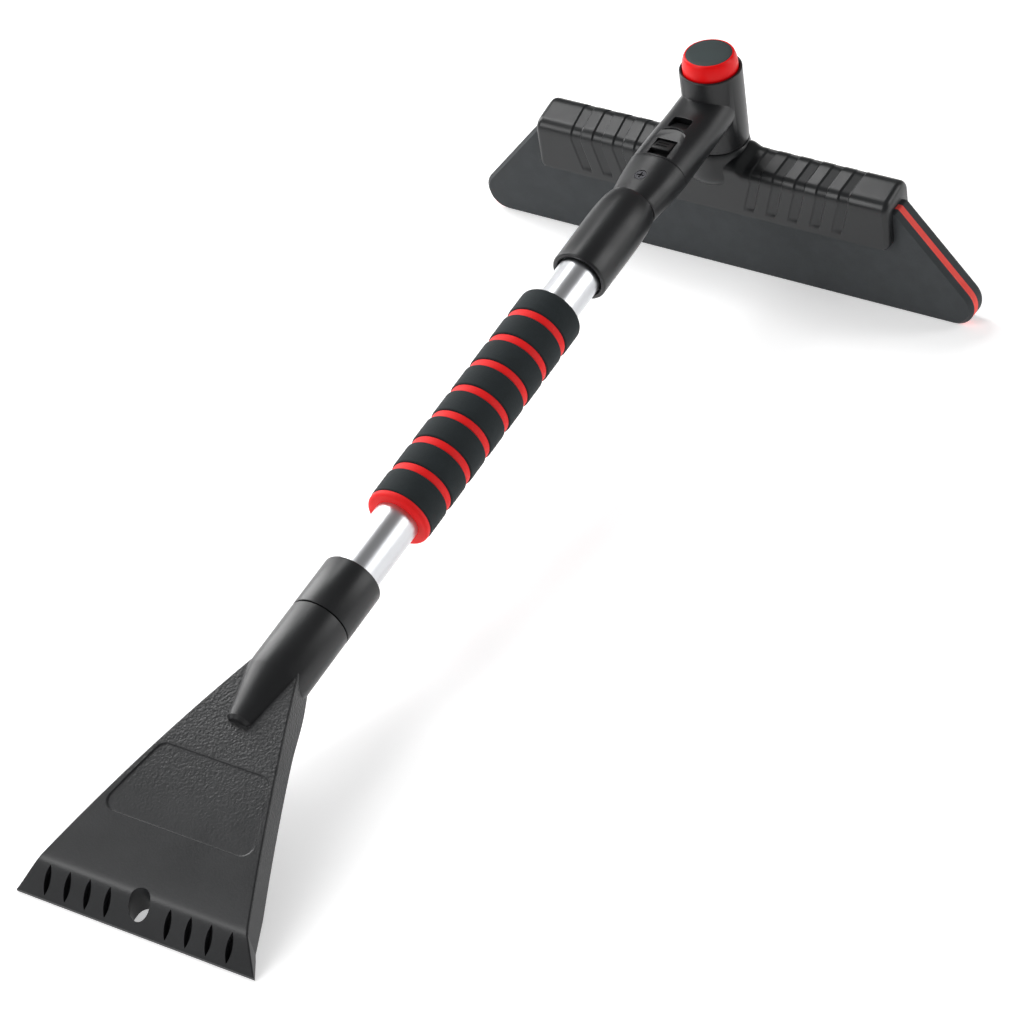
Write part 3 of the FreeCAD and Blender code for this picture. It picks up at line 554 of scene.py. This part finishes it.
def outside_distance(corners, x, y):
    """Signed distance from a convex outline with rounded corners; negative inside."""
    radius = corners[0][2]
    core = inset(corners, radius)
    point = Vector((x, y))
    inside, nearest = -1e9, 1e9
    for index in range(len(core)):
        start, end = Vector(core[index - 1][:2]), Vector(core[index][:2])
        side = (end - start).normalized()
        reach = clamp((point - start).dot(side), 0, (end - start).length)
        nearest = min(nearest, (point - start - side * reach).length)
        inside = max(inside, (point - start).dot(Vector((side.y, -side.x))))
    return (nearest if inside > 0 else inside) - radius


def blade_ring(along, columns=220):
    """One cross-section of the blade, from its upper face round the walls and the hollow."""
    half, top, under = straight(WIDTH_STOPS, along), blade_top(along), blade_under(along)
    depth = top - under
    edge = min(1.0, depth * 0.3)
    ring = [(half - edge + x, top - edge + y, along) for x, y in arc(0, 0, edge, 0, 90, 4)]
    for column in range(1, columns):
        across = (half - edge) * (1 - 2 * column / columns)
        sunk = 0.0
        if 448 < along < 491:
            sunk = 0.65 * ease(0.5 - outside_distance(PANEL, across, along) / 0.55)
        ring.append((across, top - sunk, along))
    ring += [(-half + edge + x, top - edge + y, along) for x, y in arc(0, 0, edge, 90, 180, 4)]
    hollow = along < HOLLOW_END
    roof = min(top - SKIN, top - 1.5) if hollow else under
    inner = max(half - WALL, 2.0)
    ring += [(-half, under, along), (-inner, under, along), (-inner, roof, along),
             (inner, roof, along), (inner, under, along), (half, under, along)]
    return ring


def tooth_groove(across):
    """A lens-shaped groove across the bevel."""
    length, half = 14.2, 1.6
    radius = (length * length / 4 + half * half) / (2 * half)
    swing = math.degrees(math.asin(length / 2 / radius))
    outline = arc(-radius + half, 0, radius, -swing, swing, 12)
    outline += arc(radius - half, 0, radius, 180 - swing, 180 + swing, 12)[1:-1]
    tilt = math.atan2(TOP_LAST[1] - TIP_UP, TIP - KINK)
    middle = 523.4
    place = (POLE @ Matrix.Translation((across, blade_top(middle), middle))
             @ Matrix.Rotation(tilt, 4, "X"))
    return prism("tooth_groove", outline, -3.4, 4.0, place, "xzy")


def hang_hole():
    outline = arc(0, 0.4, 5.3, 0, 180, 24) + arc(0, -0.4, 5.3, 180, 360, 24)
    outline = [(x, 520.2 + y) for x, y in outline]
    return prism("hang_hole", outline, -60.0, 20.0, POLE, "xzy")


def build_scraper():
    stations = sorted(set(spread(ROOT, 449.0, 2.6) + spread(449.0, 491.0, 0.35)
                          + spread(491.0, HOLLOW_END - 0.1, 3.0)
                          + [HOLLOW_END + 0.1, 511.0, 513.0] + spread(514.0, 521.0, 0.5)
                          + spread(521.0, TIP, 1.2)))
    blade = skin("blade", [blade_ring(along) for along in stations], POLE)
    grooves = [tooth_groove(side * (16.0 + 10.7 * index)) for side in (-1, 1) for index in range(4)]
    carve(blade, hang_hole(), *grooves)
    socket = turned("socket", [(11.0, 367.6), (14.2, 367.6), (14.55, 367.95), (14.6, 368.6),
                               (14.6, 404.6), (14.4, 405.2), (9.0, 405.2), (9.0, 392.5), (11.0, 392.5)],
                    POLE)
    cone = []
    for part in (0.0, 0.02, 0.25, 0.5, 0.75, 0.95, 0.985, 1.0):
        tuck = 0.0 if part < 0.95 else (part - 0.95) * 26
        radius = 14.6 + (6.3 - 14.6) * part - tuck
        cone.append(oval(0, 2.6 * part, radius, radius, 404.4 + 28.6 * part, 2.0))
    nose = skin("nose", cone, POLE)
    ribs = []
    for across in (-24.0, 0.0, 24.0):
        first = 418.0 if across == 0 else 452.0
        side_line = [(along, blade_top(along) - SKIN + 0.6) for along in spread(first, 507.0, 8.0)]
        side_line += [(along, blade_under(along) + 1.0) for along in spread(507.0, first, -8.0)]
        ribs.append(prism("rib", side_line, across - 1.1, across + 1.1, POLE, "zyx"))
    for name, pieces, finish in (("scraper_body", [blade] + ribs, BLADE),
                                 ("scraper_socket", [socket, nose], BLACK)):
        dress(gather(name, pieces), "handle", finish, ["scraper_blade"], 34)


# ---- neck, connector and latch -------------------------------------------------------------------

ARM_STOPS = [(2.0, 14.5, 10.6, -1.9), (8.0, 14.8, 10.7, -1.9), (22.0, 15.05, 10.7, -2.0),
             (45.0, 15.4, 11.4, -1.3), (57.0, 15.4, 11.6, -1.1)]
JOINER_STOPS = [(57.3, 15.4, 11.6, -1.1), (68.0, 14.6, 11.0, -1.1), (76.0, 13.6, 10.5, -1.1),
                (83.1, 12.65, 10.1, -1.0)]


def arm(name, stops, low, high, step=1.5):
    """An oval stretch of the arm round the pole's axis."""
    rings = []
    for along in spread(low, high, step):
        half_width, half_height, centre = follow(stops, along)
        rings.append(oval(0, centre, half_width, half_height, along, 2.2, 128))
    return skin(name, rings, POLE)


def build_neck():
    body = arm("arm", ARM_STOPS, 1.0, 57.0)
    hub_space = turned("hub_space", [(0, RIM - 60), (14.9, RIM - 60), (14.9, RIM + 5), (0, RIM + 5)],
                       HUB)
    core_way = turned("core_way", [(0, 26.5), (8.06, 26.5), (8.06, 60), (0, 60)], POLE, 64)
    window = prism("window", rounded([(-5.3, 27.3, 1.3), (5.3, 27.3, 1.3), (5.3, 35.1, 1.3),
                                      (-5.3, 35.1, 1.3)]), 3.0, 20.0, POLE, "xzy")
    thumb_way = prism("thumb_way", rounded([(-5.5, 43.6, 0.5), (5.5, 43.6, 0.5), (5.5, 55.6, 0.5),
                                            (-5.5, 55.6, 0.5)]), 3.0, 20.0, POLE, "xzy")
    flat = prism("flat", [(9.6, 56.1)] + arc(0, 46.4, 10.6, 0, -180, 28) + [(-9.6, 56.1)],
                 8.75, 20.0, POLE, "xzy")
    carve(body, hub_space, flat, core_way, window, thumb_way)
    rim_inner, rim_outer = 14.2, 15.62
    profile = [(9.06, RIM - 40.8), (15.1, RIM - 40.8)] + arc(15.1, RIM - 40.3, 0.5, -60, 0, 3)
    profile += arc(15.0, RIM - 0.62, 0.62, 0, 80, 5) + arc(14.7, RIM - 0.5, 0.5, 100, 180, 4)
    profile += [(rim_inner, RIM - 15.0), (13.1, RIM - 15.0), (13.1, RIM - 27.0), (9.06, RIM - 27.0)]
    hub = turned("hub", profile, HUB, 160)
    weld(hub, body)
    ease_edges(hub, 0.45, 3, 40)
    hub.name = "neck_body"
    dress(hub, "handle", NECK, ["neck_housing"], 38)


def build_connector():
    body = arm("joiner", JOINER_STOPS, 57.3, 83.1)
    core_way = turned("joiner_way", [(0, 56), (8.02, 56), (8.02, 85), (0, 85)], POLE, 64)
    screw_way = prism("screw_way", [(x, 70.8 + y) for x, y in arc(0, 0, 3.1, 0, 360, 40)[:-1]],
                      7.0, 20.0, POLE, "xzy")
    carve(body, core_way, screw_way)
    ease_edges(body, 0.35, 3, 40)
    body.name = "connector_body"
    dress(body, "handle", NECK, ["connector"], 38)


def build_latch():
    low, high = 3.0, 5.6
    hook = [(28.1, low), (28.1, 5.8), (32.4, 7.4), (34.5, 8.3), (34.8, 8.3), (34.8, high)]
    thumb = [(44.2, high), (44.2, 8.0), (51.0, 10.3), (51.9, 9.9), (51.9, 8.9), (50.6, high)]
    side_line = hook + thumb + [(65.5, high), (65.5, low)]
    tongue = prism("tongue", side_line, -4.75, 4.75, POLE, "zyx")
    ease_edges(tongue, 0.3, 2, 30)
    lines = []
    for along, up in ((46.7, 8.82), (49.1, 9.62)):
        place = (POLE @ Matrix.Translation((-0.4, up, along))
                 @ Matrix.Rotation(math.radians(18.5), 4, "X"))
        lines.append(prism("grip_line", rounded([(-3.1, -0.38, 0.2), (3.1, -0.38, 0.2),
                                                 (3.1, 0.38, 0.2), (-3.1, 0.38, 0.2)], 3),
                           -0.75, 2.0, place, "xzy"))
    eye_way = prism("eye_way", [(62.0 + x, 3.8 + y) for x, y in arc(0, 0, 1.05, 0, 360, 24)[:-1]],
                    -8.0, 8.0, POLE, "zyx")
    carve(tongue, eye_way, *lines)
    tongue.name = "latch_tongue"
    dress(tongue, "latch", LATCH, ["thumb_latch"], 30)


# ---- button --------------------------------------------------------------------------------------

def build_button():
    base, seat = RIM - 9.0, RIM + 3.0
    profile = [(11.8, base), (13.75, base), (13.8, base + 0.4), (13.8, RIM + 1.6)]
    profile += [(13.72, RIM + 3.0), (13.55, RIM + 4.2), (13.3, RIM + 5.4), (13.0, RIM + 6.5),
                (12.65, RIM + 7.4), (12.25, RIM + 8.0), (11.9, RIM + 8.22), (11.6, RIM + 8.2),
                (11.5, RIM + 8.0)]
    profile += [(11.5, seat), (0, seat), (0, seat - 2.5), (11.8, seat - 2.5)]
    dress(turned("button_rim", profile, HUB), "button", RED, ["button_ring"], 45)
    cap = [(0, seat), (11.45, seat)] + arc(11.2, CAP_TOP - 0.3, 0.25, 0, 80, 4)
    cap += [(9.0, CAP_TOP - 0.02), (4.5, CAP_TOP), (0, CAP_TOP)]
    dress(turned("button_face", cap, HUB), "button", SLATE, ["button_cap"], 45)


# ---- clip ----------------------------------------------------------------------------------------

END_X, LOW_Z = 99.8, 39.5
BEND_Z, SLOPE = 61.0, 13.0
FLUTE_HALF, FLUTE_DEEP = 2.7, 0.95
FLUTES = [27.0 + 12.2 * index for index in range(5)]


def clip_line():
    """The clip's outline from the rear foot over the crest to the front foot: y, z, outward normal."""
    line = []
    for height in spread(0.0, 1.0, 0.1):
        line.append((10.0, LOW_Z + (62.91 - LOW_Z) * height, 1.0, 0.0))
    for y, z in arc(3.0, 62.91, 7.0, 8, 90 + SLOPE, 14):
        line.append((y, z, (y - 3.0) / 7.0, (z - 62.91) / 7.0))
    normal = (math.cos(math.radians(90 + SLOPE)), math.sin(math.radians(90 + SLOPE)))
    for part in spread(0.1, 0.9, 0.1):
        line.append((1.43 + (-8.96 - 1.43) * part, 69.73 + (67.33 - 69.73) * part, *normal))
    for y, z in arc(-7.5, BEND_Z, 6.5, 90 + SLOPE, 180, 12):
        line.append((y, z, (y + 7.5) / 6.5, (z - BEND_Z) / 6.5))
    for part in spread(0.03, 1.0, 0.04):
        line.append((-14.0, BEND_Z + (LOW_Z - BEND_Z) * part, -1.0, 0.0))
    return line


def boss_rise(x):
    """How far the roof sweeps up to meet the boss."""
    return 2.4 * ease((21.0 - abs(x)) / 6.0)


def flute_lean(x, y, z):
    """Sideways run of the flutes: they close in down the front and spread out over the roof."""
    run = -(BEND_Z - z) * math.tan(math.radians(16.0)) if z < BEND_Z else 0.09 * max(0.0, y + 10.0)
    if y > 3.0:
        run = 0.09 * 13.0 * ease((10.0 - y) / 7.0)
    fade = ease((abs(x) - 8.0) / 14.0) * ease((END_X - 3.0 - abs(x)) / 12.0)
    return run * fade * math.copysign(1.0, x)


def flute_depth(x, y, z):
    """How deep the flutes cut at a place on the clip, counted before they lean."""
    if y > 9.0 or z < 44.0:
        return 0.0
    offset = min((abs(x) - middle for middle in FLUTES), key=abs) * math.copysign(1.0, x)
    tilt = 0.76 + 0.24 * clamp(offset / FLUTE_HALF, -1)
    across = ease(0.5 + (FLUTE_HALF - abs(offset)) / 0.7) * tilt
    return FLUTE_DEEP * across * ease((z - 44.2) / 0.9) * ease((9.0 - y) / 3.0)


def clip_ring(x, line):
    """The clip's section at x, drawn in towards the rounded ends and lower corners."""
    from_end = END_X - abs(x)
    tuck = 3.0 - math.sqrt(max(9.0 - max(3.0 - from_end, 0.0) ** 2, 0.0))
    lift = 5.0 - math.sqrt(max(25.0 - max(5.0 - from_end, 0.0) ** 2, 0.0))
    ring = []
    for y, z, out_y, out_z in line:
        depth = tuck + flute_depth(x, y, z)
        foot = LOW_Z + lift
        height = max(z, foot) if z < BEND_Z - 12 else z
        rise = boss_rise(x) * ease((height - 50.0) / 12.0)
        foot_round = 1.3 - math.sqrt(max(1.69 - max(1.3 - (height - foot), 0.0) ** 2, 0.0))
        depth += min(foot_round, 1.2)
        ring.append((x + flute_lean(x, y, height), y - out_y * depth,
                     height - out_z * depth + rise))
    return ring


def build_clip():
    line = clip_line()
    stations = spread(-END_X, -END_X + 3.5, 0.35)[:-1] + spread(-END_X + 3.5, END_X - 3.5, 0.3)
    stations += spread(END_X - 3.5, END_X, 0.35)[1:]
    shell = skin("clip", [clip_ring(x, line) for x in stations], HUB)
    boss_line = [(9.1, 56.0), (10.2, 52.6)]
    boss_line += [(17.3 * math.sin(angle), 60.0 - 9.6 * math.cos(angle))
                  for angle in map(math.radians, range(42, 90, 5))]
    boss_line += [(17.2, 61.5), (16.7, 65.5), (16.1, 69.5), (15.7, 72.2), (15.3, 72.9), (14.7, 73.0),
                  (9.1, 73.0)]
    boss = turned("boss", boss_line, HUB, 128)
    weld(shell, boss)
    recesses = []
    for x in (-82.0, -30.0, 30.0, 82.0):
        outline = [(x + side, 50.0 + up) for side, up in arc(0, 0, 3.05, 0, 345, 23)]
        recesses.append(prism("screw_recess", outline, 7.3, 12.0, HUB, "xzy"))
    carve(shell, *recesses)
    shell.name = "head_clip"
    dress(shell, "head", CLIP, ["head_clip_front", "head_clip_rear"], 42)


# ---- foam board ----------------------------------------------------------------------------------

BOARD_LINE = [(-153.4, 0.0, 11.6), (153.4, 0.0, 11.6), (101.9, 60.5, 1.5), (-101.9, 60.5, 1.5)]


def layer(name, front, rear, front_inset, rear_inset, finish, node):
    """One foam sheet of the board; its outer edge is cut back at the front or the rear."""
    rings = []
    for y, depth in ((front, front_inset), (front + 0.12, max(front_inset - 0.1, 0.0)),
                     (rear - max(0.4, (rear - front) * 0.25), 0.0),
                     (rear - 0.12, max(rear_inset - 0.1, 0.0)), (rear, rear_inset)):
        outline = rounded(inset(BOARD_LINE, depth), 16)
        rings.append([(x, y, max(z, 0.0)) for x, z in outline])
    piece = skin(name, rings, HUB)
    dress(piece, "head", finish, [node], 20)


def build_board():
    layer("board_front", -8.0, -5.4, 1.9, 0.0, BOARD, "foam_front")
    layer("board_core", -5.4, -1.4, 0.0, 0.0, BOARD_RED, "foam_core")
    layer("board_rear", -1.4, 4.0, 0.0, 0.6, BOARD, "foam_rear")


# ---- nodes kept from the frame -------------------------------------------------------------------

KEPT = {"handle_tube": TUBE, "tube_plug": BLACK, "socket_screw": STEEL, "connector_core": LATCH,
        "connector_screw": DARK_STEEL, "latch_pin": STEEL, "swivel_post": NECK, "swivel_washer": STEEL,
        "lock_gear": NECK, "swivel_bolt": STEEL, "wear_ring": CLIP, "lock_ring": NECK,
        "button_spring": STEEL, "clip_screws": STEEL}


def finish_kept_nodes():
    for name, material in KEPT.items():
        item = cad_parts[name]
        for place in item.material_slots:
            place.material = material


# ---- stage ---------------------------------------------------------------------------------------

def build_stage():
    floor = bpy.data.objects.new("floor", bpy.data.meshes.new("floor"))
    floor.data.from_pydata([(-8, -8, 0), (8, -8, 0), (8, 8, 0), (-8, 8, 0)], [], [(0, 1, 2, 3)])
    bpy.context.scene.collection.objects.link(floor)
    paper = Finish("pale_paper", (0.93, 0.93, 0.93), 0.9, Emission_Color=(1, 1, 1, 1),
                   Emission_Strength=0.45)
    paper.set("Base Color", paper.shade(paper.noise(3.0), (0.91, 0.91, 0.915)))
    floor.data.materials.append(paper.material)

    world = bpy.data.worlds.new("studio")
    world.use_nodes = True
    world.node_tree.nodes["Background"].inputs["Color"].default_value = (1.0, 1.0, 1.0, 1)
    world.node_tree.nodes["Background"].inputs["Strength"].default_value = 0.22
    bpy.context.scene.world = world

    def softbox(name, place, aim, width, height, power):
        light = bpy.data.lights.new(name, "AREA")
        light.shape = "RECTANGLE"
        light.size, light.size_y, light.energy = width, height, power
        item = bpy.data.objects.new(name, light)
        item.location = place
        item.rotation_euler = (Vector(aim) - Vector(place)).to_track_quat("-Z", "Y").to_euler()
        bpy.context.scene.collection.objects.link(item)

    softbox("left_box", (-1.6, 0.5, 0.9), (0, 0, 0.05), 0.7, 1.6, 26)
    softbox("roof_box", (-0.6, 0.62, 1.15), (0, 0.25, 0.05), 0.5, 0.25, 3.5)
    softbox("near_box", (-0.65, -0.9, 0.9), (0, -0.1, 0.05), 0.6, 0.8, 8)
    softbox("rim_box", (1.5, 1.1, 0.7), (0, 0.1, 0.05), 0.5, 1.2, 9)

    eye = bpy.data.cameras.new("camera")
    eye.sensor_width, eye.lens = 36.0, 141.19
    eye.clip_start, eye.clip_end = 0.1, 30.0
    camera = bpy.data.objects.new("camera", eye)
    right, down, ahead = ((0.84504, 0.52053, -0.12234), (0.25381, -0.59185, -0.76504),
                          (-0.47063, 0.61544, -0.63225))
    turn = Matrix([right, [-part for part in down], [-part for part in ahead]]).transposed()
    camera.matrix_world = (Matrix.Translation((0.89310, (HUB_Y - 1381.16) * MM, (RIM + 1081.67) * MM))
                           @ turn.to_4x4())
    bpy.context.scene.collection.objects.link(camera)
    bpy.context.scene.camera = camera
    bpy.context.scene.view_settings.view_transform = "Standard"


build_grip()
build_sleeve()
build_collar()
build_scraper()
build_neck()
build_connector()
build_latch()
build_button()
build_clip()
build_board()
finish_kept_nodes()
build_stage()
